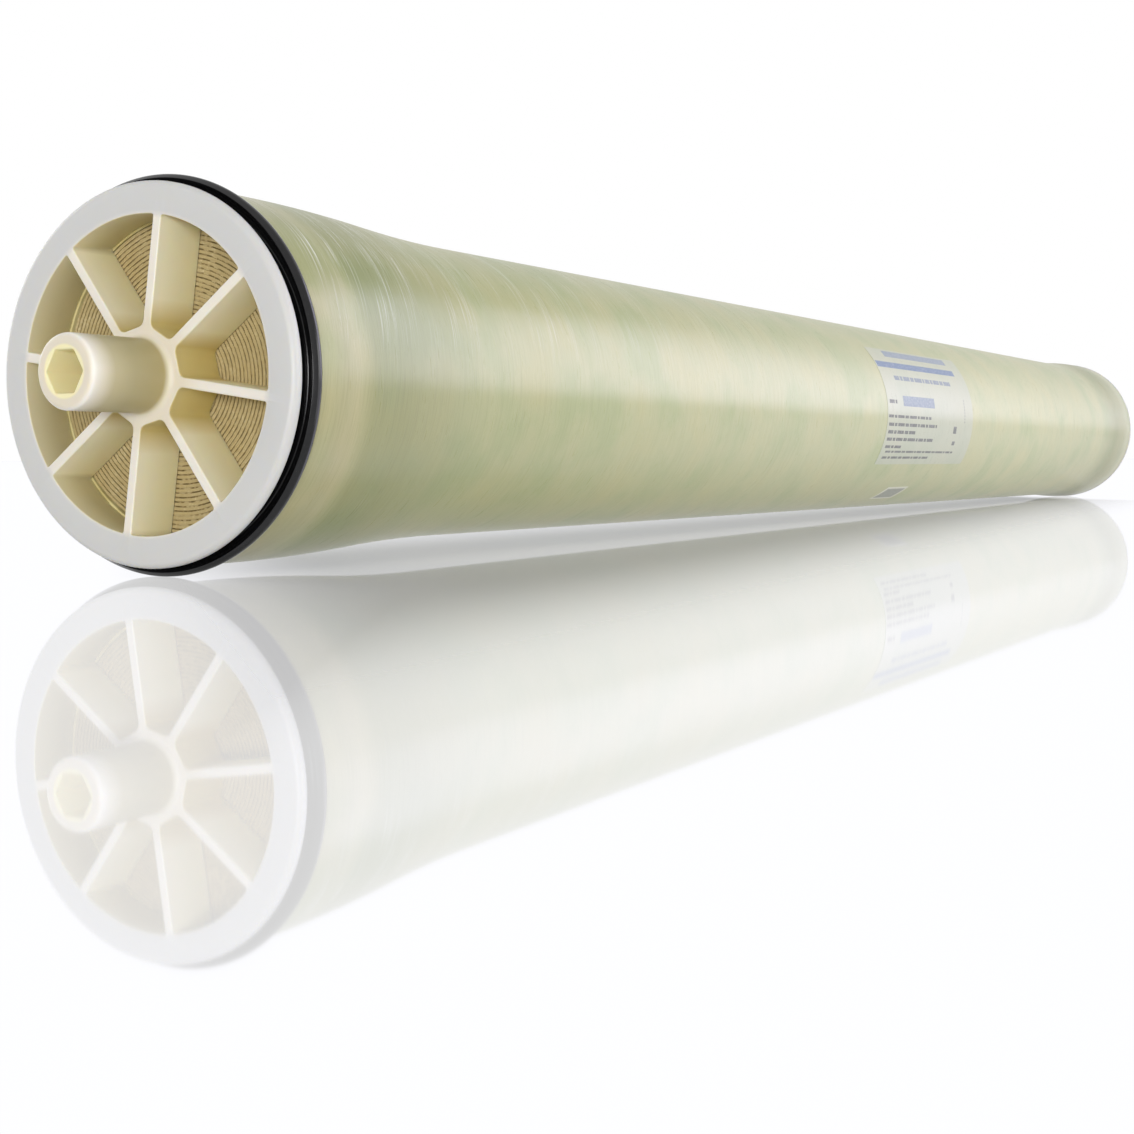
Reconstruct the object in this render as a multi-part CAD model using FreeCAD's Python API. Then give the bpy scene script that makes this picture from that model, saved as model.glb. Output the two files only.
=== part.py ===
import FreeCAD, Part
import math
import os

# A spiral-wound reverse-osmosis element for a 4 inch pressure vessel, 40 inches long, in millimetres.
# The element's axis is X and its middle is the origin. The feed end, with the brine seal, is at -X.
# A depth is measured along the axis from a cap's front face towards the middle of the element.

# Element
element_length = 1016.0          # over the tips of the two product water ports
port_projection = 26.7           # port tip in front of the cap's face
cap_face_x = element_length / 2 - port_projection

# Product water port and core tube
port_radius = 19.05 / 2
port_lip_rounding = 1.6
port_root_reach = 2.5            # of the cone between the port and the hub
port_bore_across_flats = 10.6
core_tube_radius = 11.0
core_tube_bore_radius = 8.0
core_tube_depth = 4.0            # the tube's end sits this far behind the cap's face
perforation_diameter = 2.5
perforation_rows = 4

# End caps, which stop the roll from telescoping
roll_end_depth = 15.5
hub_flat_distance = 12.4         # the hub is eight-sided, with a flat in each window
window_front_radius = 41.0
window_rear_radius = 42.6
spoke_count = 8
spoke_thickness = 2.6
spoke_angle = 8.3                # first spoke, turned about +X from +Y
flange_thickness = 3.0
flange_chamfer = 1.2
skirt_depth = 30.0
feed_flange_radius = 49.5
feed_skirt_radius = 47.6
concentrate_flange_radius = 47.8
concentrate_skirt_radius = 46.0

# Brine seal, a U-cup of rubber in the groove behind the feed end's flange
groove_radius = 45.5
groove_rear_depth = 10.5
seal_lip_radius = 51.8
seal_lip_depth = 6.3             # where the lip's sealing land starts
seal_lip_bevel = 1.2             # of the lip's front edge
seal_lip_rounding = 0.6
seal_land_width = 1.4
seal_heel = 2.4                  # solid rubber behind the mouth
seal_inner_lip = (1.0, 1.6)      # thickness at its tip and at its root
seal_mouth_width = 1.4
seal_slack = 0.1                 # play between the seal and its groove, along the axis

# Roll of membrane leaves and feed spacers
roll_radius = 44.1
leaf_count = 4
leaf_thickness = 1.2             # two membranes with a permeate carrier between them
spacer_thickness = 1.5           # both are drawn at twice the real thickness, for half the turns
sheet_gap = 0.05                 # between a leaf and the spacer beside it
spacer_recess = 1.0              # the net stops short of the leaf's edge

# Fibreglass shell, wound over both skirts and the roll
shell_radius = 45.6
shell_feed_radius = 49.4
shell_feed_shoulder = (25.0, 125.0)
shell_concentrate_radius = 47.6
shell_concentrate_shoulder = (16.0, 95.0)
shell_edge_chamfer = 0.8

# Adhesive film labels on the shell
label_thickness = 0.1
label_x = (-39.8, 95.2)
label_angles = (137.0, 211.0)    # turned about +X from +Y
tag_x = (5.0, 40.0)
tag_angles = (230.0, 243.0)

AXIS = FreeCAD.Vector(1, 0, 0)
ORIGIN = FreeCAD.Vector(0, 0, 0)


def profile_point(x, radius):
    """A point of a turned profile, drawn in the XZ plane above the axis."""
    return FreeCAD.Vector(x, 0, radius)


def rounded_outline(corners):
    """A closed wire through (x, radius, rounding) corners, each turned with an arc of its rounding."""
    ends = []
    for index, (x, radius, rounding) in enumerate(corners):
        corner = profile_point(x, radius)
        before = profile_point(*corners[index - 1][:2]) - corner
        after = profile_point(*corners[(index + 1) % len(corners)][:2]) - corner
        half_angle = before.getAngle(after) / 2
        setback = rounding / math.tan(half_angle)
        start = corner + before.normalize() * setback
        end = corner + after.normalize() * setback
        ends.append((start, corner, end, math.sin(half_angle)))
    edges = []
    for index, (start, corner, end, weight) in enumerate(ends):
        if start != end:
            arc = Part.BezierCurve()
            arc.setPoles([start, corner, end])
            arc.setWeight(2, weight)
            edges.append(arc.toShape())
        edges.append(Part.makeLine(end, ends[(index + 1) % len(ends)][0]))
    return Part.Wire(edges)


def turned(wire):
    """The solid that a closed profile sweeps in one turn about the element's axis."""
    return Part.Face(wire).revolve(ORIGIN, AXIS, 360)


def cylinder(radius, start_x, end_x):
    return Part.makeCylinder(radius, end_x - start_x, profile_point(start_x, 0), AXIS)


def window_core():
    """The mould core that leaves one window, between two spokes, the hub's flat and the drafted rim."""
    ring = turned(rounded_outline([
        (0, 0, 0),
        (0, window_front_radius, 0),
        (roll_end_depth, window_rear_radius, 0),
        (roll_end_depth, 0, 0),
    ]))
    half_sector = math.radians(180 / spoke_count)
    reach = window_rear_radius + spoke_thickness
    corners = []
    for distance, side in ((hub_flat_distance, -1), (reach, -1), (reach, 1), (hub_flat_distance, 1)):
        half_width = distance * math.tan(half_sector) - spoke_thickness / 2 / math.cos(half_sector)
        corners.append(FreeCAD.Vector(0, distance, side * half_width))
    sector = Part.Face(Part.makePolygon(corners + corners[:1])).extrude(AXIS * roll_end_depth)
    return ring.common(sector)


def hub_and_port():
    """The hub with the port that stands out of it, before its bore."""
    hub_reach = hub_flat_distance + spoke_thickness
    return turned(rounded_outline([
        (-port_projection, 0, 0),
        (-port_projection, port_radius, port_lip_rounding),
        (-port_root_reach, port_radius, 0),
        (0, port_radius + port_root_reach, 0),
        (0, hub_reach, 0),
        (roll_end_depth, hub_reach, 0),
        (roll_end_depth, 0, 0),
    ]))


def bored(cap):
    """Cut the hexagonal bore of the port and the socket that holds the core tube."""
    corner_radius = port_bore_across_flats / math.sqrt(3)
    corners = []
    for step in range(7):
        turn = math.radians(60 * step + 90)
        corners.append(FreeCAD.Vector(
            -port_projection,
            corner_radius * math.cos(turn),
            corner_radius * math.sin(turn),
        ))
    bore = Part.Face(Part.makePolygon(corners)).extrude(AXIS * (port_projection + core_tube_depth))
    return cap.cut([bore, cylinder(core_tube_radius, core_tube_depth, roll_end_depth)])


def end_cap(rim_wire):
    """A one-piece moulded cap: its rim, the port on its hub, and the spokes left between the windows."""
    plate = cylinder((window_rear_radius + roll_radius) / 2, 0, roll_end_depth)
    cap = turned(rim_wire).fuse([plate, hub_and_port()]).removeSplitter()
    cores = []
    for index in range(spoke_count):
        core = window_core()
        core.rotate(ORIGIN, AXIS, spoke_angle + (index + 0.5) * 360 / spoke_count)
        cores.append(core)
    return bored(cap.cut(cores)).removeSplitter()


def feed_end_cap():
    """The cap at -X, whose rim has a flange, the seal's groove and the skirt under the shell."""
    cap = end_cap(rounded_outline([
        (0, window_rear_radius, 0),
        (0, feed_flange_radius - flange_chamfer, 0),
        (flange_chamfer, feed_flange_radius, 0),
        (flange_thickness, feed_flange_radius, 0),
        (flange_thickness, groove_radius, 0),
        (groove_rear_depth, groove_radius, 0),
        (groove_rear_depth, feed_skirt_radius, 0),
        (skirt_depth, feed_skirt_radius, 0),
        (skirt_depth, roll_radius, 0),
        (roll_end_depth, roll_radius, 0),
        (roll_end_depth, window_rear_radius, 0),
    ]))
    cap.translate(AXIS * -cap_face_x)
    return cap


def concentrate_end_cap():
    """The cap at +X, the same moulding without a groove, turned to face the other way."""
    cap = end_cap(rounded_outline([
        (0, window_rear_radius, 0),
        (0, concentrate_flange_radius - flange_chamfer, 0),
        (flange_chamfer, concentrate_flange_radius, 0),
        (flange_thickness, concentrate_flange_radius, 0),
        (flange_thickness, concentrate_skirt_radius, 0),
        (skirt_depth, concentrate_skirt_radius, 0),
        (skirt_depth, roll_radius, 0),
        (roll_end_depth, roll_radius, 0),
        (roll_end_depth, window_rear_radius, 0),
    ]))
    cap.rotate(ORIGIN, FreeCAD.Vector(0, 0, 1), 180)
    cap.translate(AXIS * cap_face_x)
    return cap


def brine_seal():
    """A U-cup whose mouth faces the feed: a lip that flares to the vessel's bore, and one on the groove."""
    front = flange_thickness + seal_slack
    rear = groove_rear_depth - seal_slack
    mouth = rear - seal_heel
    tip, root = seal_inner_lip
    seal = turned(rounded_outline([
        (rear, groove_radius, 0),
        (front, groove_radius, 0),
        (front, groove_radius + tip, 0),
        (mouth, groove_radius + root, 0),
        (mouth, groove_radius + root + seal_mouth_width, 0),
        (seal_lip_depth - seal_lip_bevel, seal_lip_radius - seal_lip_bevel, 0),
        (seal_lip_depth, seal_lip_radius, seal_lip_rounding),
        (seal_lip_depth + seal_land_width, seal_lip_radius, 0),
        (rear, shell_feed_radius, 0),
    ]))
    seal.translate(AXIS * -cap_face_x)
    return seal


def product_water_tube():
    """The core tube, bonded into both hubs and perforated where the leaves feed it."""
    half_length = cap_face_x - core_tube_depth
    tube = cylinder(core_tube_radius, -half_length, half_length)
    drills = [cylinder(core_tube_bore_radius, -half_length, half_length)]
    spacing = 2 * (cap_face_x - skirt_depth) / perforation_rows
    for row in range(perforation_rows):
        direction = FreeCAD.Vector(0, row % 2, (row + 1) % 2)
        middle = AXIS * ((row - (perforation_rows - 1) / 2) * spacing)
        start = middle - direction * 2 * core_tube_radius
        drills.append(Part.makeCylinder(perforation_diameter / 2, 4 * core_tube_radius, start, direction))
    return tube.cut(drills)


def layer_pitch():
    """A leaf and a spacer, with a gap on each side of the spacer."""
    return leaf_thickness + spacer_thickness + 2 * sheet_gap


def wound_sheet(inner_radius, thickness, half_length, start_quarter):
    """One sheet of the roll, a spiral of quarter turns.

    Each quarter is an arc about one corner of a small square at the axis, one layer pitch wide, and its
    radius is one pitch more than that of the quarter before. So all the sheets in a quarter turn are
    concentric, and touch all along.
    """
    pitch = layer_pitch()
    quarters = int((roll_radius - thickness - inner_radius - pitch / 2) / pitch)

    def side(offset):
        edges = []
        for quarter in range(quarters):
            radius = inner_radius + offset + quarter * pitch
            corner_turn = math.radians(90 * (quarter + start_quarter) + 135)
            centre = FreeCAD.Vector(-half_length, math.cos(corner_turn), math.sin(corner_turn))
            centre.y *= pitch / math.sqrt(2)
            centre.z *= pitch / math.sqrt(2)
            points = []
            for step in (0, 45, 90):
                turn = math.radians(90 * (quarter + start_quarter) + step)
                points.append(centre + FreeCAD.Vector(0, radius * math.cos(turn), radius * math.sin(turn)))
            edges.append(Part.Arc(*points).toShape())
        return edges

    inside = side(0)
    outside = side(thickness)
    start = Part.makeLine(inside[0].Vertexes[0].Point, outside[0].Vertexes[0].Point)
    end = Part.makeLine(inside[-1].Vertexes[-1].Point, outside[-1].Vertexes[-1].Point)
    wire = Part.Wire(Part.sortEdges(inside + [end] + outside + [start])[0])
    return Part.Face(wire).extrude(AXIS * 2 * half_length)


def roll_start_radius():
    """The first leaf's radius, which leaves the square's half width between it and the core tube."""
    return core_tube_radius + layer_pitch() * math.sqrt(0.5)


def membrane_leaf(index):
    return wound_sheet(roll_start_radius(), leaf_thickness, cap_face_x - roll_end_depth, index)


def feed_spacer(index):
    inner_radius = roll_start_radius() + leaf_thickness + sheet_gap
    return wound_sheet(inner_radius, spacer_thickness, cap_face_x - roll_end_depth - spacer_recess, index)


def shoulder(start, end):
    """A smooth slope between two stretches of even radius, of two arcs that meet at its middle."""
    middle = (start + end) * 0.5
    chord = end - start
    bulge = FreeCAD.Vector(-chord.z, 0, chord.x) * (chord.z / chord.x / 8)
    return [
        Part.Arc(start, (start + middle) * 0.5 - bulge, middle).toShape(),
        Part.Arc(middle, (middle + end) * 0.5 + bulge, end).toShape(),
    ]


def fibreglass_shell():
    """The wound shell, thick over each skirt's end and thin along the roll."""
    feed_x = -cap_face_x + groove_rear_depth
    far_x = cap_face_x - flange_thickness
    feed_slope = shoulder(
        profile_point(-cap_face_x + shell_feed_shoulder[0], shell_feed_radius),
        profile_point(-cap_face_x + shell_feed_shoulder[1], shell_radius),
    )
    far_slope = shoulder(
        profile_point(cap_face_x - shell_concentrate_shoulder[1], shell_radius),
        profile_point(cap_face_x - shell_concentrate_shoulder[0], shell_concentrate_radius),
    )
    corners = [
        feed_slope[0].Vertexes[0].Point,
        profile_point(feed_x + shell_edge_chamfer, shell_feed_radius),
        profile_point(feed_x, shell_feed_radius - shell_edge_chamfer),
        profile_point(feed_x, feed_skirt_radius),
        profile_point(-cap_face_x + skirt_depth, feed_skirt_radius),
        profile_point(-cap_face_x + skirt_depth, roll_radius),
        profile_point(cap_face_x - skirt_depth, roll_radius),
        profile_point(cap_face_x - skirt_depth, concentrate_skirt_radius),
        profile_point(far_x, concentrate_skirt_radius),
        profile_point(far_x, shell_concentrate_radius - shell_edge_chamfer),
        profile_point(far_x - shell_edge_chamfer, shell_concentrate_radius),
        far_slope[1].Vertexes[1].Point,
    ]
    edges = feed_slope + far_slope
    edges.append(Part.makeLine(feed_slope[1].Vertexes[1].Point, far_slope[0].Vertexes[0].Point))
    for start, end in zip(corners, corners[1:]):
        edges.append(Part.makeLine(start, end))
    return turned(Part.Wire(Part.sortEdges(edges)[0]))


def film(x_range, angles):
    """A thin film label that lies on the shell between two angles."""
    sleeve = cylinder(shell_radius + label_thickness, *x_range).cut(cylinder(shell_radius, *x_range))
    reach = 2 * shell_radius
    middle = math.radians(sum(angles) / 2)
    half_angle = math.radians(angles[1] - angles[0]) / 2
    corners = [FreeCAD.Vector(x_range[0], 0, 0)]
    for turn in (middle - half_angle, middle, middle + half_angle):
        corners.append(FreeCAD.Vector(x_range[0], reach * math.cos(turn), reach * math.sin(turn)))
    corners.append(corners[0])
    wedge = Part.Face(Part.makePolygon(corners)).extrude(AXIS * (x_range[1] - x_range[0]))
    return sleeve.common(wedge)


def write(name, shape):
    if len(shape.Solids) == 1:
        shape = shape.Solids[0]
    if not shape.isValid():
        raise ValueError(name + " is not a valid solid")
    shape.exportStep("parts/" + name + ".step")


os.makedirs("parts", exist_ok=True)
write("feed_end_cap", feed_end_cap())
write("concentrate_end_cap", concentrate_end_cap())
write("brine_seal", brine_seal())
write("product_water_tube", product_water_tube())
for number in range(leaf_count):
    write("membrane_leaf_" + str(number + 1), membrane_leaf(number))
    write("feed_spacer_" + str(number + 1), feed_spacer(number))
write("fibreglass_shell", fibreglass_shell())
write("label", film(label_x, label_angles))
write("serial_tag", film(tag_x, tag_angles))
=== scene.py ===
import math

import bmesh
import bpy
from mathutils import Matrix, Vector


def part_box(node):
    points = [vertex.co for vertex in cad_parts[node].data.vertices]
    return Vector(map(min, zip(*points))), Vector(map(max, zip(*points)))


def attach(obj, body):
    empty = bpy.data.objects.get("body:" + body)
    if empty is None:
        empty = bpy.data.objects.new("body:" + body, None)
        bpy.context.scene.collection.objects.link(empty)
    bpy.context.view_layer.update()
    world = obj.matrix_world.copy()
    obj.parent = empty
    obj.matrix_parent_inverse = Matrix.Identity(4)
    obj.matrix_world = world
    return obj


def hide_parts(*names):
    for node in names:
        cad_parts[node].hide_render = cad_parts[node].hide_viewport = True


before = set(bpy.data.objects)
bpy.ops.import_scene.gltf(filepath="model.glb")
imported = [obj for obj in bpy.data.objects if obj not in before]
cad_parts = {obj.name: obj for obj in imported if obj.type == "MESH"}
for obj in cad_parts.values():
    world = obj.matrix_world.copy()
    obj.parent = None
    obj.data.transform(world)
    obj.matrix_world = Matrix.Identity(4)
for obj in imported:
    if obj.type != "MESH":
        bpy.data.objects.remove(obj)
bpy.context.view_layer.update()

bl_info = {
    "name": "Membrane Element Dressing",
    "version": (1, 0, 0),
    "blender": (4, 5, 0),
    "location": "3D View > Sidebar > Element",
    "description": "Models the mouldings, roll, wound shell and label of a spiral-wound membrane element",
    "category": "Object",
}

MM = 0.001
SHELL_LOW, SHELL_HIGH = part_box("fibreglass_shell")
CAP_LOW, CAP_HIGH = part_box("feed_end_cap")
FAR_CAP_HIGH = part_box("concentrate_end_cap")[1]
SEAL_LOW, SEAL_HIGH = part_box("brine_seal")
LEAF_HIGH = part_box("membrane_leaf_1")[1]
TUBE_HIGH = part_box("product_water_tube")[1]
LABEL_LOW, LABEL_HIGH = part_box("label")
TAG_LOW, TAG_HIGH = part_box("serial_tag")

TURN = 2 * math.pi
FEED, FAR = -1, 1
PORT_PROJECTION = 26.7 * MM
FACE_X = CAP_LOW.x * FEED - PORT_PROJECTION
LIP_RADIUS = SEAL_HIGH.z
LEAF_RADIUS = 43.5 * MM  # where the outermost leaf ends
RING_STEPS = 192  # around a turned piece
SEAL_STEPS = 256  # around the seal, the widest ring
ROUND_STEPS = 5  # across a rounded edge
SAME_PLACE = 0.01 * MM  # points closer than this count as one
PAST = 1 * MM  # how far a cutting tool reaches past what it cuts
# Lengths of the short bars that stand for print, in turn, and the gap between them, in millimetres.
ROW_BARS = (7.0, 3.4, 9.2, 5.0, 11.0, 2.6)
ROW_GAP = 1.3
# Rows of bars: start and end from the label's left edge in millimetres, upper and lower edge in degrees.
LABEL_ROWS = (
    (3.3, 14, 8.4, 6.2), (1.5, 64.5, -0.5, -2.2), (2.5, 74.5, -5.2, -7.1), (2.9, 42, -9.6, -11.6),
    (3.3, 71.5, -14.0, -15.9), (4.2, 27.6, -18.7, -20.4), (6.9, 110.5, -22.0, -23.3), (5.4, 74, -25.7, -27.2),
)
# Where painted light makes the floor glow white to the camera, hiding its shadow away from the object: a direction
# along X and Y, and where the change starts and ends along it.
PAINTED_GLOW_SIDES = ((0.1, -1, 0.037, 0.137), (-1, 1, 0.4, 0.5), (0, 1, 0.0, 0.16), (1, -1, 0.38, 0.46))

# Lamps: name, place and target in metres, width, height, watts and, where it isn't white, tint.
SOFTBOXES = (
    ("long_softbox", (2.6, -1.7, 1.07), (0, 0, 0), 1.75, 2.15, 44, (0.84, 0.8, 1.0)),
    ("cap_softbox", (-2.72, -1.15, 0.16), (-0.48, 0, 0), 1.6, 0.36, 41),
    ("side_softbox", (0.6, -3.0, 0.5), (0.1, 0, 0), 2.4, 1.0, 33),
    ("back_softbox", (-0.2, 3.0, 0.9), (0, 0, 0), 2.4, 1.2, 25),
)
SURROUND, WHITE, FLOOR_GLOW = 0.36, 1.0, 1.03  # strengths: light on the object, and what is seen
CAMERA_PLACE = (-0.8183, -0.3155, -0.0214)
CAMERA_YAW, CAMERA_PITCH = 0.5147, -0.0613  # radians, from +X towards +Y, and upwards


def colour_property(name, text, sheet):
    """A colour that a user may change, given by its sRGB hex value."""
    return bpy.props.FloatVectorProperty(
        name=name, description=text, subtype="COLOR", size=4, min=0, max=1, default=linear(sheet))


def linear(sheet):
    """The linear RGBA of an sRGB hex colour."""
    channels = [int(sheet[place:place + 2], 16) / 255 for place in (0, 2, 4)]
    return [c / 12.92 if c <= 0.04045 else ((c + 0.055) / 1.055) ** 2.4 for c in channels] + [1]


def length_property(name, text, millimetres):
    """A length that a user may change, given in millimetres."""
    return bpy.props.FloatProperty(
        name=name, description=text, unit="LENGTH", precision=5, default=millimetres * MM)


def angle_property(name, text, degrees):
    """An angle that a user may change, given in degrees."""
    return bpy.props.FloatProperty(name=name, description=text, subtype="ANGLE", default=math.radians(degrees))


class CapSizes(bpy.types.PropertyGroup):
    port_radius: length_property("Port radius", "Outer radius of the product water port", 9.525)
    port_lip: length_property("Port lip", "Rounding of the port's tip", 1.5)
    port_root: length_property("Port root", "Fillet between the port and the hub", 1.8)
    bore_flats: length_property("Bore", "Hexagonal bore, across its flats", 10.6)
    socket_depth: length_property("Socket depth", "From the cap's face to the core tube's end", 4)
    plate_depth: length_property("Spoke depth", "From the cap's face to the roll", 15.5)
    window_front: length_property("Window radius", "Rim's inner radius at the face", 41)
    window_rear: length_property("Window rear radius", "Rim's inner radius at the roll", 42.6)
    spokes: bpy.props.IntProperty(name="Spokes", description="Number of spokes", default=8, min=3)
    spoke_width: length_property("Spoke width", "Thickness of a spoke", 2.6)
    first_spoke: angle_property("First spoke", "Turned from +Y towards +Z", 8.3)
    hub_flat: length_property("Hub flat", "From the axis to the hub's flat in each window", 12.4)
    hub_corner: length_property("Hub corner", "Rounding between the hub and a spoke", 1.3)
    rim_corner: length_property("Rim corner", "Rounding between the rim and a spoke", 0.6)
    edge_rounding: length_property("Edge rounding", "Rounding of the moulding's edges", 0.4)
    rim_rounding: length_property("Rim rounding", "Rounding of the rim's front edge", 1.7)
    flange_depth: length_property("Flange", "Thickness of the flange in front of the seal", 3)
    groove_radius: length_property("Groove radius", "Floor of the seal's groove", 45.5)
    groove_depth: length_property("Groove depth", "From the cap's face to the groove's rear wall", 10.5)
    skirt_depth: length_property("Skirt depth", "From the cap's face to the skirt's end", 30)
    skirt_bore: length_property("Skirt bore", "Inner radius of the skirt, around the roll", 44.1)
    feed_skirt: length_property("Feed skirt radius", "Outer radius of the feed end's skirt", 47.6)
    far_skirt: length_property("Far skirt radius", "Outer radius of the far end's skirt", 46)
    # Face, hub and rim colours are for where the moulding faces out; the wall, deep and bore colours are painted
    # light, standing in for light carried through and bounced inside the plastic.
    face_colour: colour_property("Face colour", "Hub and spokes where they face out", "EAE4D8")
    hub_colour: colour_property("Hub colour", "Hub where it faces out", "E2D9C6")
    rim_colour: colour_property("Rim colour", "Rim and flange", "CFCFCD")
    wall_painted_light_colour: colour_property("Wall colour", "Moulding just inside the windows", "F8F1D2")
    deep_painted_light_colour: colour_property("Deep colour", "Moulding beside the roll", "FAF2CC")
    bore_painted_light_colour: colour_property("Bore colour", "Inside the port's bore", "F6EDBE")


class SealSizes(bpy.types.PropertyGroup):
    slack: length_property("Slack", "Play between the seal and its groove", 0.1)
    heel: length_property("Heel", "Depth of the solid heel behind the mouth", 2.4)
    lip_front: length_property("Lip front", "From the cap's face to the lip's front edge", 5.2)
    lip_front_radius: length_property("Lip front radius", "Radius of the lip's front edge", 50.7)
    land_start: length_property("Land start", "From the cap's face to the sealing land", 6.4)
    land_width: length_property("Land width", "Width of the sealing land", 1.3)
    rubber_colour: colour_property("Rubber colour", "Black moulded rubber", "0B0B0C")


class RollSizes(bpy.types.PropertyGroup):
    leaves: bpy.props.IntProperty(name="Leaves", description="Number of membrane leaves", default=4, min=1)
    leaf: length_property("Leaf", "Two membranes with a permeate carrier between them", 0.8)
    spacer: length_property("Spacer", "Thickness of the feed spacer", 0.36)
    gap: length_property("Gap", "Between a leaf and the spacer beside it", 0.02)
    recess: length_property("Recess", "From the leaves' edge to the spacers' edge", 0.35)
    leaf_colour: colour_property("Leaf colour", "Cut edge of a leaf", "B5A478")
    net_colour: colour_property("Net colour", "Feed spacer net, seen between the leaves", "8A774C")
    wrap: length_property("Wrap radius", "Inner radius of the tape wrapped around the roll", 42.1)
    tape_colour: colour_property("Tape colour", "Tape wrapped around the roll", "DCD19C")


class ShellSizes(bpy.types.PropertyGroup):
    body: length_property("Body radius", "Outer radius along the roll", 45.6)
    feed_radius: length_property("Feed radius", "Outer radius over the feed end's skirt", 49.4)
    far_radius: length_property("Far radius", "Outer radius over the far end's skirt", 47.6)
    feed_shoulder: length_property("Feed shoulder", "Where the feed shoulder starts, from the face", 25)
    feed_shoulder_end: length_property("Feed shoulder end", "Where the feed shoulder ends", 125)
    far_shoulder: length_property("Far shoulder", "Where the far shoulder starts, from the face", 16)
    far_shoulder_end: length_property("Far shoulder end", "Where the far shoulder ends", 95)
    edge: length_property("Edge", "Chamfer of the shell's cut ends", 0.8)
    shoulder_points: bpy.props.IntProperty(
        name="Shoulder rings", description="Rings along each shoulder", default=14, min=4)
    resin_colour: colour_property("Resin colour", "Shell along the roll", "B6B884")
    skirt_colour: colour_property("Skirt colour", "Shell over the white skirt", "B1AE7C")
    green_colour: colour_property("Green colour", "Thick resin behind the skirt", "8C9053")
    strand_width: length_property("Strand width", "Width of one strand of glass filaments", 0.28)
    strand_length: length_property("Strand length", "Length over which a strand stays even", 14)


class LabelSizes(bpy.types.PropertyGroup):
    film: length_property("Film", "Thickness of the label film", 0.1)
    ink: length_property("Ink", "Height of the print above the film", 0.02)
    corner: length_property("Corner", "Rounding of the label's corners", 1.2)
    start: angle_property("Start", "Upper edge, turned from +Y", 137)
    end: angle_property("End", "Lower edge, turned from +Y", 211)
    tag_edge: length_property("Tag edge", "Bare edge around the small tag's grey field", 1.3)
    film_colour: colour_property("Film colour", "Clear film over the resin", "B4B8AB")
    blue_colour: colour_property("Stripe colour", "Blue ink", "4C678A")
    pale_colour: colour_property("Field colour", "Pale blue ink", "7D8A98")
    title_colour: colour_property("Title colour", "Blue-grey ink", "6E7A84")
    grey_colour: colour_property("Row colour", "Grey ink", "57594F")
    tag_colour: colour_property("Tag colour", "Small tag below the label", "D6D6C6")
    field_colour: colour_property("Tag field colour", "Grey field on the tag", "8F9186")


class StageSizes(bpy.types.PropertyGroup):
    floor_radius: length_property("Floor radius", "Radius of the round floor", 9000)
    floor_colour: colour_property("Floor colour", "Pale floor", "E6E6E6")
    mirror_colour: colour_property("Reflection colour", "Polished face of the floor", "F6F7FF")
    polish: bpy.props.FloatProperty(
        name="Polish", description="Share of the floor's light it mirrors", default=0.36)
    lens: bpy.props.FloatProperty(name="Lens", description="Focal length in millimetres", default=55.47)


def deselect_all():
    """Leave edit mode with nothing selected."""
    if bpy.context.object and bpy.context.object.mode != "OBJECT":
        bpy.ops.object.mode_set(mode="OBJECT")
    bpy.ops.object.select_all(action="DESELECT")


def pick(*pieces):
    """Select these pieces and nothing else, the first of them active."""
    deselect_all()
    for piece in pieces:
        piece.select_set(True)
    bpy.context.view_layer.objects.active = pieces[0]


def select_whole():
    """Select all of the open mesh."""
    bpy.ops.mesh.select_all(action="SELECT")


def close_mesh():
    """Point the open mesh's faces outwards and leave edit mode."""
    select_whole()
    bpy.ops.mesh.normals_make_consistent(inside=False)
    bpy.ops.object.mode_set(mode="OBJECT")


def open_in_place():
    """Give a new primitive's mesh its place, and open it in edit mode with nothing selected."""
    bpy.ops.object.transform_apply(location=True, rotation=True, scale=True)
    bpy.ops.object.mode_set(mode="EDIT")
    bpy.ops.mesh.select_all(action="DESELECT")
    return bpy.context.object


def around(x, radius, turn):
    """A point at an angle about the element's axis, turned from +Y towards +Z."""
    return Vector((x, radius * math.cos(turn), radius * math.sin(turn)))


def draw(name, points):
    """Start a piece as a chain of edges drawn through points, and leave it open in edit mode."""
    deselect_all()
    bpy.ops.mesh.primitive_plane_add(size=MM, enter_editmode=True, location=(0, 0, 0))
    bpy.ops.mesh.select_mode(type="VERT")
    select_whole()
    bpy.ops.mesh.merge(type="CENTER")
    bpy.ops.transform.translate(value=points[0])
    for before, after in zip(points, points[1:]):
        bpy.ops.mesh.extrude_region_move(TRANSFORM_OT_translate={"value": after - before})
    piece = bpy.context.object
    piece.name = piece.data.name = name
    return piece


def spin(angle, steps, centre=(0, 0, 0)):
    """Sweep what is selected about a line along the element, from +Y towards +Z."""
    bpy.ops.mesh.spin(steps=steps, angle=angle, center=centre, axis=(-1, 0, 0))


def choose(kind, test):
    """Select the verts, edges or faces of the open mesh that pass a test."""
    mesh = bmesh.from_edit_mesh(bpy.context.object.data)
    bpy.ops.mesh.select_all(action="DESELECT")
    bpy.ops.mesh.select_mode(type=kind[:-1].upper())
    for part in getattr(mesh, kind):
        part.select_set(test(part))
    bmesh.update_edit_mesh(bpy.context.object.data)


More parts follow.
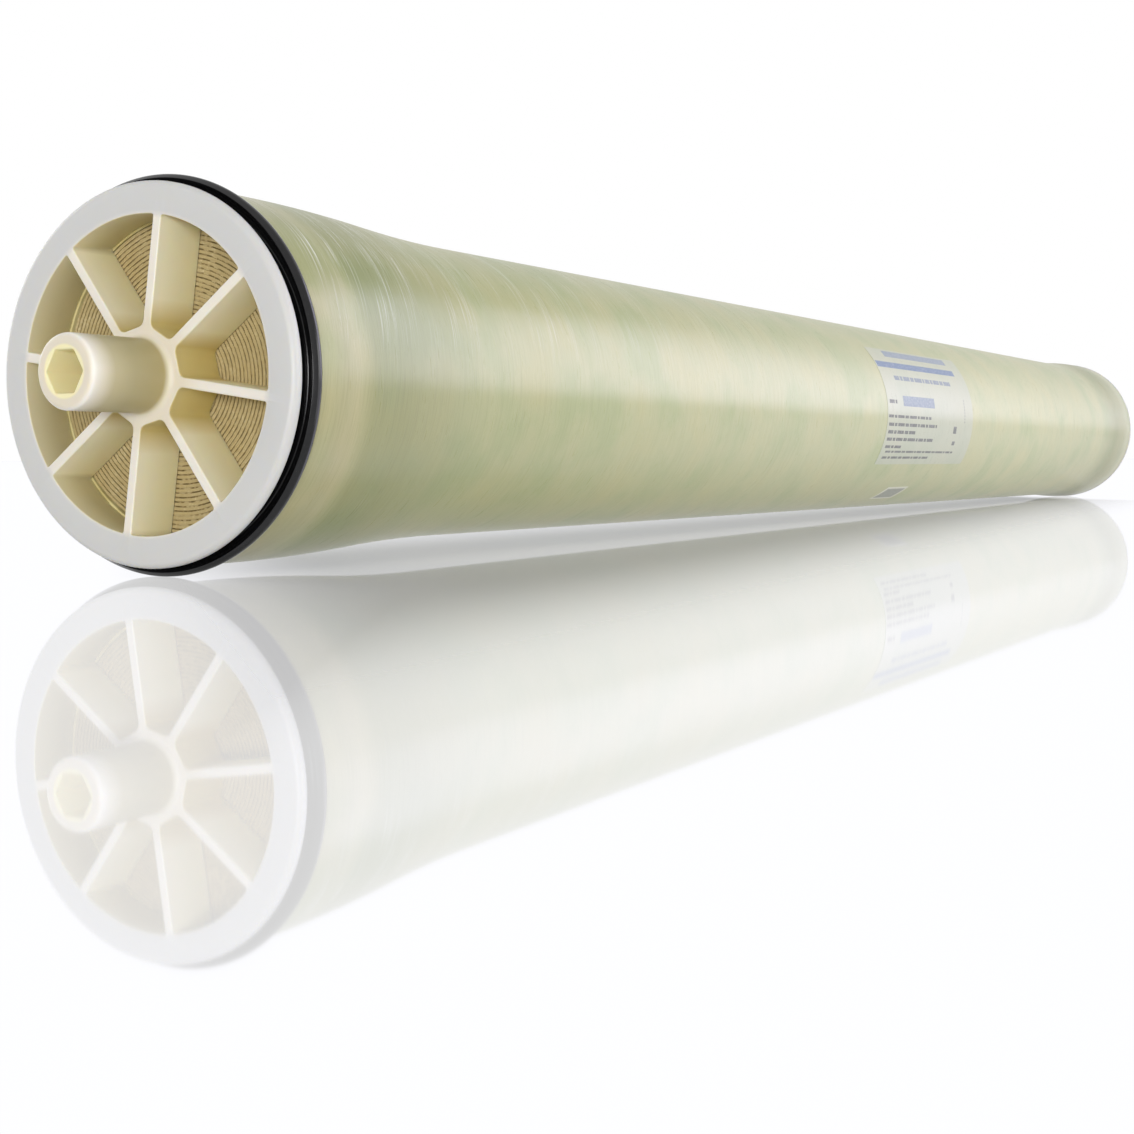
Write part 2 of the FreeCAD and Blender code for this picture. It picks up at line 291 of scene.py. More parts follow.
def turned_piece(name, corners, steps=RING_STEPS):
    """Turn a closed profile of (x, radius, rounding) corners about the axis, then round its edges."""
    piece = draw(name, [Vector((x, 0, radius)) for x, radius, _ in corners])
    select_whole()
    bpy.ops.mesh.edge_face_add()
    bpy.ops.mesh.delete(type="ONLY_FACE")
    select_whole()
    spin(TURN, steps)
    select_whole()
    bpy.ops.mesh.remove_doubles(threshold=SAME_PLACE / 2)
    bpy.ops.mesh.normals_make_consistent(inside=False)
    for x, radius, rounding in corners:
        if rounding:
            choose("edges", lambda edge: all(
                abs(v.co.x - x) < SAME_PLACE and abs(v.co.yz.length - radius) < SAME_PLACE
                for v in edge.verts))
            bpy.ops.mesh.bevel(offset=rounding, segments=ROUND_STEPS, affect="EDGES")
    bpy.ops.object.mode_set(mode="OBJECT")
    return piece


def apply_modifier(piece, kind, **settings):
    """Add a modifier, set it and apply it."""
    pick(piece)
    modifier = piece.modifiers.new(kind.title(), kind)
    for key, value in settings.items():
        setattr(modifier, key, value)
    bpy.ops.object.modifier_apply(modifier=modifier.name)


def cut(piece, tool):
    """Cut a tool's shape out of a piece, and delete the tool."""
    apply_modifier(piece, "BOOLEAN", operation="DIFFERENCE", object=tool, solver="EXACT")
    bpy.data.objects.remove(tool)


def joined(name, pieces):
    """Join pieces into one mesh."""
    pick(*pieces)
    if len(pieces) > 1:
        bpy.ops.object.join()
    pieces[0].name = pieces[0].data.name = name
    return pieces[0]


def turned_copies(piece, turns):
    """A piece and its copies, each turned about the axis by an angle, with its own mesh."""
    copies = []
    for turn in turns:
        copy = piece.copy()
        copy.data = piece.data.copy()
        bpy.context.scene.collection.objects.link(copy)
        copy.data.transform(Matrix.Rotation(turn, 4, "X"))
        copies.append(copy)
    bpy.data.objects.remove(piece)
    return copies


def finish_piece(piece, material, replaced=(), smooth=30):
    """Place a piece's mesh, smooth it, and give it its finish and its body."""
    pick(piece)
    bpy.ops.object.transform_apply(location=True, rotation=True, scale=True)
    bpy.ops.object.shade_smooth_by_angle(angle=math.radians(smooth))
    piece.data.materials.clear()
    piece.data.materials.append(material)
    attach(piece, "root")
    if replaced:
        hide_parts(*replaced)


def link_or_set(tree, socket, value):
    """Link a socket to an output or to a node's first output in use, or else set its value."""
    if isinstance(value, bpy.types.Node):
        value = next(output for output in value.outputs if output.enabled)
    if isinstance(value, bpy.types.NodeSocket):
        tree.links.new(value, socket)
    else:
        socket.default_value = value


def add_node(material, kind, inputs=(), stops=(), **settings):
    """Add a node with its settings, its colour stops, and its values or links."""
    tree = material.node_tree
    node = tree.nodes.new("ShaderNode" + kind)
    for key, value in settings.items():
        setattr(node, key, value)
    for index, (place, colour) in enumerate(stops):
        if index < 2:
            stop = node.color_ramp.elements[index]
            stop.position = place
        else:
            stop = node.color_ramp.elements.new(place)
        stop.color = linear(colour) if isinstance(colour, str) else colour
    for key, value in dict(inputs).items():
        link_or_set(tree, node.inputs[key], value)
    return node


def set_shader(material, **values):
    """Set or link sockets of the Principled shader, named with underscores for spaces."""
    shader = next(n for n in material.node_tree.nodes if n.type == "BSDF_PRINCIPLED")
    for key, value in values.items():
        link_or_set(material.node_tree, shader.inputs[key.replace("_", " ")], value)


def new_material(name):
    """A material with its Principled shader and output, and the places and normals of its points."""
    material = bpy.data.materials.new(name)
    material.use_nodes = True
    return material, add_node(material, "TexCoord").outputs


def grey(level):
    """A linear grey from black at 0 to white at 1."""
    return (level, level, level, 1)


def ray_kinds(material):
    """The camera's own rays, those that a glossy or clear surface sends on, and both together."""
    rays = add_node(material, "LightPath").outputs
    sent_on = add_node(material, "Math", {
        0: rays["Is Glossy Ray"], 1: rays["Is Transmission Ray"]}, operation="MAXIMUM")
    seen = add_node(material, "Math", {
        0: rays["Is Camera Ray"], 1: sent_on}, operation="MAXIMUM")
    return rays["Is Camera Ray"], sent_on, seen


def moulded_plastic(name, sizes, side):
    """Natural ABS, injection moulded: ivory white and faintly grained, with painted light and shade: whiter where
    it faces out, pale and yellower deep in the windows, painted shade near the hub and down the port.
    """
    material, place = new_material(name)
    axes = add_node(material, "SeparateXYZ", {"Vector": place["Object"]})
    facing = add_node(material, "SeparateXYZ", {"Vector": place["Normal"]})
    depth = add_node(material, "MapRange", {
        "Value": axes.outputs["X"],
        "From Min": side * (FACE_X + PORT_PROJECTION),
        "From Max": side * (FACE_X - sizes.skirt_depth),
    })
    span = PORT_PROJECTION + sizes.skirt_depth

    def along(millimetres):
        """Share of the ramp at a depth behind the cap's face."""
        return (PORT_PROJECTION + millimetres * MM) / span

    # Painted light and shade by depth: the port's sides tan and darkest at its root as painted shade, the window
    # walls pale and yellower deeper in as painted light.
    wall = add_node(material, "ValToRGB", {"Fac": depth}, stops=[
        (along(-26.7), "F4F1EA"),
        (along(-25.4), "F0ECE2"),
        (along(-23), "E4DDCA"),
        (along(-19), "C6BC98"),
        (along(-12), "BAB088"),
        (along(-2), "BDAF7E"),
        (along(0), "F0EAD2"),
        (along(3), sizes.wall_painted_light_colour),
        (along(13), sizes.deep_painted_light_colour),
    ])
    # Painted light: surfaces square to the axis, and all beyond 43.5 mm, take the face colours as lit faces; the
    # other walls take the painted colours by depth.
    squareness = add_node(material, "MapRange", {
        "Value": add_node(material, "Math", {0: facing.outputs["X"]}, operation="ABSOLUTE"),
        "From Min": 0.55, "From Max": 0.95,
    })
    radius = add_node(material, "VectorMath", {
        0: add_node(material, "CombineXYZ", {"Y": axes.outputs["Y"], "Z": axes.outputs["Z"]}),
    }, operation="LENGTH")

    def beyond(start, end):
        """From 0 at one radius to 1 at another, in millimetres."""
        return add_node(material, "MapRange", {
            "Value": radius, "From Min": start * MM, "From Max": end * MM})

    lit_face_share = add_node(material, "Math", {
        0: squareness, 1: beyond(43, 44.5)}, operation="MAXIMUM")
    towards_rim = beyond(40, 42)
    off_hub = beyond(14, 20)
    spoke = add_node(material, "Mix", {
        "Factor": off_hub,
        6: sizes.hub_colour, 7: sizes.face_colour}, data_type="RGBA")
    face = add_node(material, "Mix", {
        "Factor": towards_rim,
        6: spoke, 7: sizes.rim_colour}, data_type="RGBA")
    # Painted shade near the hub: from 11.5 mm out, walls are multiplied by a golden tint that fades out between 14
    # and 20 mm from the axis.
    hub_corner_shade = add_node(material, "Mix", {
        "Factor": off_hub, 6: linear("DED1A2"), 7: grey(1)}, data_type="RGBA")
    wall_shaded_near_hub = add_node(material, "Mix", {
        "Factor": 1.0, 6: wall, 7: hub_corner_shade},
        data_type="RGBA", blend_type="MULTIPLY")
    window_wall = add_node(material, "Mix", {
        "Factor": beyond(10, 11.5),
        6: wall, 7: wall_shaded_near_hub}, data_type="RGBA")
    # Walls towards the rim turn darker and greyer.
    sides = add_node(material, "Mix", {
        "Factor": towards_rim,
        6: window_wall, 7: linear("D6CDA6")}, data_type="RGBA")
    skin = add_node(material, "Mix", {
        "Factor": lit_face_share,
        6: sides, 7: face}, data_type="RGBA")
    # Painted light inside the port's bore: within about 6.3 to 6.9 mm of the axis the colour turns to the bright
    # yellow bore colour.
    tint = add_node(material, "Mix", {
        "Factor": beyond(6.9, 6.3),
        6: skin, 7: sizes.bore_painted_light_colour}, data_type="RGBA")
    grain = add_node(material, "TexNoise", {
        "Vector": place["Object"], "Scale": 1 / (3.5 * MM), "Detail": 3})
    bump = add_node(material, "Bump", {
        "Height": grain, "Strength": 0.06, "Distance": 0.05 * MM})
    set_shader(
        material, Base_Color=tint, Normal=bump, Roughness=0.42, IOR=1.53,
        Subsurface_Weight=0.4, Subsurface_Radius=(1.0, 0.75, 0.4), Subsurface_Scale=2.5 * MM)
    return material


def moulded_rubber(sizes):
    """EPDM, compression moulded: black, satin, with a fine tooth from its mould."""
    material, place = new_material("EPDM rubber, moulded")
    tooth = add_node(material, "TexNoise", {
        "Vector": place["Object"], "Scale": 1 / (1.2 * MM), "Detail": 4})
    tint = add_node(material, "ValToRGB", {"Fac": tooth}, stops=[
        (0.3, sizes.rubber_colour), (0.8, "151516")])
    gloss = add_node(material, "MapRange", {
        "Value": tooth, "To Min": 0.16, "To Max": 0.24})
    bump = add_node(material, "Bump", {
        "Height": tooth, "Strength": 0.1, "Distance": 0.05 * MM})
    set_shader(
        material, Base_Color=tint, Roughness=gloss,
        Normal=bump, IOR=1.4)
    return material


def extruded_plastic():
    """Natural ABS, extruded: ivory, with faint draw lines along the tube."""
    material, place = new_material("ABS core tube, extruded")
    stretch = add_node(material, "Mapping", {
        "Vector": place["Object"], "Scale": (1 / (60 * MM), 1 / (0.8 * MM), 1 / (0.8 * MM))})
    lines = add_node(material, "TexNoise", {
        "Vector": stretch, "Scale": 1, "Detail": 2})
    tint = add_node(material, "ValToRGB", {"Fac": lines}, stops=[
        (0.3, "D8CB98"), (0.75, "E4DAB0")])
    bump = add_node(material, "Bump", {
        "Height": lines, "Strength": 0.15, "Distance": 0.05 * MM})
    set_shader(material, Base_Color=tint, Normal=bump, Roughness=0.45, IOR=1.53)
    return material


def membrane_sheet(sizes):
    """Polyamide membrane on polyester fabric, cut: matt tan edges with a slight fray."""
    material, place = new_material("Membrane leaf, cut edge")
    fray = add_node(material, "TexNoise", {
        "Vector": place["Object"], "Scale": 1 / (0.9 * MM), "Detail": 4})
    broad = add_node(material, "TexNoise", {
        "Vector": place["Object"], "Scale": 1 / (9 * MM), "Detail": 2})
    both = add_node(material, "Mix", {
        "Factor": 0.4, 2: fray, 3: broad}, data_type="FLOAT")
    tint = add_node(material, "ValToRGB", {"Fac": both}, stops=[
        (0.32, "AD9A6B"), (0.55, sizes.leaf_colour), (0.75, "D0C39C")])
    bump = add_node(material, "Bump", {
        "Height": fray, "Strength": 0.3, "Distance": 0.1 * MM})
    set_shader(material, Base_Color=tint, Normal=bump, Roughness=0.75)
    return material


def spacer_net(sizes):
    """Polypropylene net, extruded: crossing strands 1.5 to 2 mm apart, with painted shade dark in the openings
    between them.
    """
    material, place = new_material("PP feed spacer net")
    strands = add_node(material, "TexNoise", {
        "Vector": place["Object"], "Scale": 1 / (1.7 * MM), "Detail": 1})
    # The darkest stop is painted shade in the openings of the net.
    tint = add_node(material, "ValToRGB", {"Fac": strands}, stops=[
        (0.38, "675833"), (0.49, sizes.net_colour), (0.6, "B5A579")])
    set_shader(material, Base_Color=tint, Roughness=0.7)
    return material


def wrapping_tape(sizes):
    """Polyester tape: pale yellow where its cut edge shows, smooth and slightly clear."""
    material, place = new_material("Polyester tape, wrapped")
    patches = add_node(material, "TexNoise", {
        "Vector": place["Object"], "Scale": 1 / (6 * MM), "Detail": 2})
    tint = add_node(material, "ValToRGB", {"Fac": patches}, stops=[
        (0.35, "C6B87E"), (0.6, sizes.tape_colour)])
    set_shader(material, Base_Color=tint, Roughness=0.35, IOR=1.55)
    return material


def wound_fibreglass(name, sizes, film=None):
    """E-glass in epoxy, wound: fine hoop strands in clear yellow-green resin, glossy over fine ridges."""
    material, place = new_material(name)
    axes = add_node(material, "SeparateXYZ", {"Vector": place["Object"]})

    def strands(lean, width, length, detail):
        """Noise drawn out along strands that lean away from the hoop direction."""
        leaning = add_node(material, "Mapping", {
            "Vector": place["Object"], "Rotation": (0, math.radians(lean), 0)})
        drawn = add_node(material, "Mapping", {
            "Vector": leaning, "Scale": (1 / width, 1 / length, 1 / length)})
        return add_node(material, "TexNoise", {
            "Vector": drawn, "Scale": 1, "Detail": detail, "Roughness": 0.6})

    hoops = strands(0.5, sizes.strand_width, sizes.strand_length, 3)
    bands = strands(-6, 2 * sizes.strand_width, 2 * sizes.strand_length, 2)
    weave = add_node(material, "Mix", {
        "Factor": 0.45, 2: hoops, 3: bands}, data_type="FLOAT")
    wetting = add_node(material, "TexNoise", {
        "Vector": place["Object"], "Scale": 1 / (26 * MM), "Detail": 3})

    def along(millimetres):
        """Share of the ramp at a distance from the feed cap's face."""
        return millimetres * MM / (2 * FACE_X)

    distance = add_node(material, "MapRange", {
        "Value": axes.outputs["X"], "From Min": -FACE_X, "From Max": FACE_X})
    resin = add_node(material, "ValToRGB", {"Fac": distance}, stops=[
        (along(14), sizes.skirt_colour),
        (along(21), "A6A374"),
        (along(29), sizes.skirt_colour),
        (along(31), sizes.green_colour),
        (along(50), sizes.green_colour),
        (along(95), "A6A86C"),
        (along(180), "AEB077"),
        (along(340), sizes.resin_colour),
        (along(700), "BCBE8A"),
        (along(880), "B7B989"),
        (along(918), "8E9156"),
        (along(940), "A0A374"),
        (along(950), "B6B893"),
    ])
    cast = add_node(material, "ValToRGB", {"Fac": wetting}, stops=[
        (0.35, "E8F0E2"), (0.5, "F8F8F5"), (0.65, "FFFAF4")])
    patchy = add_node(material, "Mix", {
        "Factor": 1.0, 6: resin, 7: cast},
        data_type="RGBA", blend_type="MULTIPLY")
    light = add_node(material, "ValToRGB", {"Fac": weave}, stops=[
        (0.36, "EDEDE6"), (0.5, "FAFAF8"), (0.64, "FFFFFF")])
    tint = add_node(material, "Mix", {
        "Factor": 1.0, 6: patchy, 7: light},
        data_type="RGBA", blend_type="MULTIPLY")
    dry = add_node(material, "MapRange", {
        "Value": strands(-13, 0.26 * MM, 30 * MM, 3), "From Min": 0.56, "From Max": 0.64})
    bunches = add_node(material, "MapRange", {
        "Value": strands(-13, 9 * MM, 40 * MM, 1), "From Min": 0.42, "From Max": 0.58})
    upper = add_node(material, "MapRange", {
        "Value": axes.outputs["Z"], "From Min": 6 * MM, "From Max": 34 * MM})
    slack = add_node(material, "ValToRGB", {"Fac": distance}, stops=[
        (along(13), grey(0)), (along(22), grey(0.8)), (along(60), grey(1)), (along(110), grey(0.5)),
        (along(240), grey(0.35)), (along(420), grey(0))])
    upper_slack = add_node(material, "Math", {
        0: upper, 1: slack}, operation="MULTIPLY")
    bunched = add_node(material, "Math", {
        0: bunches, 1: upper_slack}, operation="MULTIPLY")
    bright = add_node(material, "Math", {
        0: dry, 1: bunched}, operation="MULTIPLY")
    colour = add_node(material, "Mix", {
        "Factor": bright, 6: tint, 7: linear("F2F4EC")},
        data_type="RGBA")
    if film is not None:
        colour = add_node(material, "Mix", {
            "Factor": 0.6, 6: colour, 7: film}, data_type="RGBA")
    gloss = add_node(material, "MapRange", {
        "Value": weave, "From Min": 0.3, "From Max": 0.7, "To Min": 0.34, "To Max": 0.26})
    bump = add_node(material, "Bump", {
        "Height": weave, "Strength": 0.55 if film is None else 0.15, "Distance": 0.1 * MM})
    set_shader(
        material, Base_Color=colour, Roughness=gloss, Normal=bump,
        IOR=1.56)
    return material


def ink(name, colour):
    """Printing ink on film: flat colour, thin enough for the film's grain to show."""
    material, place = new_material(name)
    speckle = add_node(material, "TexNoise", {
        "Vector": place["Object"], "Scale": 1 / (1.1 * MM), "Detail": 2})
    pale = [1 - (1 - c) * 0.85 for c in colour[:3]] + [1]
    tint = add_node(material, "ValToRGB", {"Fac": speckle}, stops=[
        (0.45, colour), (0.75, pale)])
    set_shader(material, Base_Color=tint, Roughness=0.4)
    return material


class ELEMENT_OT_caps(bpy.types.Operator):
    """Model both end caps, with their port, hub, spokes, rim and skirt"""

    bl_idname = "element.caps"
    bl_label = "End caps"

    def windows(self, sizes, side):
        """The eight mould cores that leave the windows open."""
        slope = (sizes.window_rear - sizes.window_front) / sizes.plate_depth
        deselect_all()
        bpy.ops.mesh.primitive_cylinder_add(
            vertices=RING_STEPS, radius=sizes.window_front - PAST * slope, depth=sizes.plate_depth + 2 * PAST,
            rotation=(0, math.pi / 2, 0), location=(side * (FACE_X - sizes.plate_depth / 2), 0, 0))
        core = open_in_place()
        rear = side * (FACE_X - sizes.plate_depth - PAST)
        choose("edges", lambda edge: all(abs(v.co.x - rear) < SAME_PLACE for v in edge.verts))
        growth = (sizes.window_rear + PAST * slope) / (sizes.window_front - PAST * slope)
        bpy.ops.transform.resize(value=(1, growth, growth), center_override=(rear, 0, 0))
        half = math.pi / sizes.spokes
        for way in (1, -1):
            select_whole()
            across = Vector((0, -math.sin(half), way * math.cos(half)))
            bpy.ops.mesh.bisect(
                plane_co=across * -sizes.spoke_width / 2, plane_no=across, use_fill=True, clear_outer=True)
        select_whole()
        bpy.ops.mesh.bisect(
            plane_co=(0, sizes.hub_flat, 0), plane_no=(0, 1, 0), use_fill=True, clear_inner=True)
        for rounding, inner in ((sizes.hub_corner, True), (sizes.rim_corner, False)):
            choose("edges", lambda edge: (
                abs(edge.verts[0].co.x - edge.verts[1].co.x) > sizes.plate_depth / 2
                and edge.calc_face_angle(0) > 0.4
                and (edge.verts[0].co.yz.length < 2 * sizes.hub_flat) == inner))
            bpy.ops.mesh.bevel(offset=rounding, segments=ROUND_STEPS, affect="EDGES")
        close_mesh()
        step = TURN / sizes.spokes
        turns = [sizes.first_spoke + (index + 0.5) * step for index in range(sizes.spokes)]
        return joined("window_cores", turned_copies(core, turns))

    def bore(self, sizes, side):
        """The hexagonal bore, from the port's tip into the core tube's socket."""
        front = FACE_X + PORT_PROJECTION + PAST
        rear = FACE_X - sizes.socket_depth - PAST
        deselect_all()
        bpy.ops.mesh.primitive_cylinder_add(
            vertices=6, radius=sizes.bore_flats / math.sqrt(3), depth=front - rear,
            rotation=(0, math.pi / 2, 0), location=(side * (front + rear) / 2, 0, 0))
        core = open_in_place()
        choose("edges", lambda edge: abs(edge.verts[0].co.x - edge.verts[1].co.x) > PAST)
        bpy.ops.mesh.bevel(offset=0.5 * MM, segments=3, affect="EDGES")
        bpy.ops.object.mode_set(mode="OBJECT")
        return core

    def cap(self, name, sizes, side, rim, node):
        """Turn one cap about the axis, from its port over its rim's profile to its socket, and open it."""
        def at(depth):
            return side * (FACE_X - depth)

        pilot = 2 * MM  # the bore is cut through it
        corners = [
            (at(-PORT_PROJECTION), pilot, 0),
            (at(-PORT_PROJECTION), sizes.port_radius, sizes.port_lip),
            (at(0), sizes.port_radius, sizes.port_root),
        ] + [(at(depth), radius, rounding) for depth, radius, rounding in rim] + [
            (at(sizes.skirt_depth), sizes.skirt_bore, 0),
            (at(sizes.plate_depth), sizes.skirt_bore, 0),
            (at(sizes.plate_depth), TUBE_HIGH.z, 0),
            (at(sizes.socket_depth), TUBE_HIGH.z, 0),
            (at(sizes.socket_depth), pilot, 0),
        ]
        body = turned_piece(name, corners)
        cut(body, self.windows(sizes, side))
        cut(body, self.bore(sizes, side))
        apply_modifier(
            body, "BEVEL", width=sizes.edge_rounding, segments=3, limit_method="ANGLE",
            angle_limit=math.radians(40), use_clamp_overlap=False)
        plastic = moulded_plastic("ABS, moulded, " + name.replace("_", " "), sizes, side)
        finish_piece(body, plastic, [node])

    def execute(self, context):
        sizes = context.scene.element_caps
        feed_flange = CAP_HIGH.z
        far_flange = FAR_CAP_HIGH.z
        self.cap("feed_cap_moulding", sizes, FEED, [
            (0, feed_flange, sizes.rim_rounding),
            (sizes.flange_depth, feed_flange, 0.5 * MM),
            (sizes.flange_depth, sizes.groove_radius, 0),
            (sizes.groove_depth, sizes.groove_radius, 0),
            (sizes.groove_depth, sizes.feed_skirt, 0),
            (sizes.skirt_depth, sizes.feed_skirt, 0.5 * MM),
        ], "feed_end_cap")
        self.cap("concentrate_cap_moulding", sizes, FAR, [
            (0, far_flange, sizes.rim_rounding),
            (sizes.flange_depth, far_flange, 0.3 * MM),
            (sizes.flange_depth, sizes.far_skirt, 0),
            (sizes.skirt_depth, sizes.far_skirt, 0.5 * MM),
        ], "concentrate_end_cap")
        return {"FINISHED"}


class ELEMENT_OT_seal(bpy.types.Operator):
    """Model the brine seal, a U-cup of black rubber behind the feed end's flange"""

    bl_idname = "element.seal"
    bl_label = "Brine seal"

    def execute(self, context):
        sizes, caps = context.scene.element_seal, context.scene.element_caps
        front = caps.flange_depth + sizes.slack
        rear = caps.groove_depth - sizes.slack
        mouth = rear - sizes.heel
        groove = caps.groove_radius
        land_end = sizes.land_start + sizes.land_width
        corners = [
            (rear, groove, 0),
            (front, groove, 0.3 * MM),
            (front, groove + 1.0 * MM, 0.35 * MM),
            (mouth, groove + 1.6 * MM, 0.5 * MM),
            (mouth, groove + 3.0 * MM, 0.5 * MM),
            (sizes.lip_front, sizes.lip_front_radius, 0.12 * MM),
            (sizes.land_start, LIP_RADIUS, 0.4 * MM),
            (land_end, LIP_RADIUS, 0.6 * MM),
            (rear, context.scene.element_shell.feed_radius, 0.3 * MM),
        ]
        ring = turned_piece("brine_seal_cup", [(-FACE_X + d, r, e) for d, r, e in corners], SEAL_STEPS)
        finish_piece(ring, moulded_rubber(sizes), ["brine_seal"], 50)
        return {"FINISHED"}


class ELEMENT_OT_roll(bpy.types.Operator):
    """Wind the membrane leaves and feed spacers at their real thickness, and finish the core tube"""

    bl_idname = "element.roll"
    bl_label = "Roll"

    def wound(self, name, inner_radius, thickness, half_length, first_quarter, pitch):
        """A spiral of quarter turns about the corners of a square one layer pitch wide."""
        quarters = int((LEAF_RADIUS - thickness - inner_radius - pitch / 2) / pitch)

        def centre(quarter):
            return around(0, pitch / math.sqrt(2), math.radians(90 * (quarter + first_quarter) + 135))

        turn = math.radians(90 * first_quarter)
        corners = [
            centre(0) + around(x, radius, turn)
            for x, radius in (
                (-half_length, inner_radius), (half_length, inner_radius),
                (half_length, inner_radius + thickness), (-half_length, inner_radius + thickness))
        ]
        sheet = draw(name, corners)
        select_whole()
        bpy.ops.mesh.edge_face_add()
        for quarter in range(quarters):
            spin(math.pi / 2, 12 + quarter // 2, centre(quarter))
        close_mesh()
        return sheet

    def execute(self, context):
        sizes = context.scene.element_roll
        end = LEAF_HIGH.x
        pitch = sizes.leaf + sizes.spacer + 2 * sizes.gap
        first = TUBE_HIGH.z + pitch * math.sqrt(0.5)
        leaf_material = membrane_sheet(sizes)
        net_material = spacer_net(sizes)
        for index in range(sizes.leaves):
            number = str(index + 1)
            leaf = self.wound("wound_leaf_" + number, first, sizes.leaf, end - 3 * sizes.gap, index, pitch)
            finish_piece(leaf, leaf_material, ["membrane_leaf_" + number])
            net = self.wound(
                "wound_spacer_" + number, first + sizes.leaf + sizes.gap, sizes.spacer,
                end - sizes.recess, index, pitch)
            finish_piece(net, net_material, ["feed_spacer_" + number])
        bore = context.scene.element_caps.skirt_bore
        wrap = turned_piece("roll_wrap", [
            (-end, sizes.wrap, 0.1 * MM), (end, sizes.wrap, 0.1 * MM),
            (end, bore - sizes.gap, 0), (-end, bore - sizes.gap, 0)])
        finish_piece(wrap, wrapping_tape(sizes))
        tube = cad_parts["product_water_tube"]
        tube.data.materials.clear()
        tube.data.materials.append(extruded_plastic())
        return {"FINISHED"}


class ELEMENT_OT_shell(bpy.types.Operator):
    """Model the filament-wound shell with its two shoulders"""

    bl_idname = "element.shell"
    bl_label = "Shell"

    def shoulder(self, side, start, end, start_radius, end_radius, points):
        """Points of a smooth slope of two arcs between two stretches of even radius."""
        slope = []
        for index in range(points + 1):
            share = index / points
            rise = 2 * share ** 2 if share < 0.5 else 1 - 2 * (1 - share) ** 2
            depth = start + (end - start) * share
            slope.append((side * (FACE_X - depth), start_radius + (end_radius - start_radius) * rise, 0))
        return slope

    def execute(self, context):
        sizes, caps = context.scene.element_shell, context.scene.element_caps
        points = sizes.shoulder_points
        feed_slope = self.shoulder(
            FEED, sizes.feed_shoulder, sizes.feed_shoulder_end, sizes.feed_radius, sizes.body, points)
        far_slope = self.shoulder(
            FAR, sizes.far_shoulder, sizes.far_shoulder_end, sizes.far_radius, sizes.body, points)
        stations = 12
        middle = [
            (feed_slope[-1][0] + (far_slope[-1][0] - feed_slope[-1][0]) * index / stations, sizes.body, 0)
            for index in range(1, stations)
        ]
        feed_x, far_x = SHELL_LOW.x, SHELL_HIGH.x
        skirt_end = FACE_X - caps.skirt_depth
        corners = [
            (feed_x, caps.feed_skirt, 0),
            (feed_x, sizes.feed_radius, sizes.edge),
        ] + feed_slope + middle + far_slope[::-1] + [
            (far_x, sizes.far_radius, sizes.edge),
            (far_x, caps.far_skirt, 0),
            (skirt_end, caps.far_skirt, 0),
            (skirt_end, caps.skirt_bore, 0),
            (-skirt_end, caps.skirt_bore, 0),
            (-skirt_end, caps.feed_skirt, 0),
        ]
        shell = turned_piece("wound_shell", corners)
        glass = wound_fibreglass("E-glass and epoxy, wound", sizes)
        finish_piece(shell, glass, ["fibreglass_shell"])
        return {"FINISHED"}


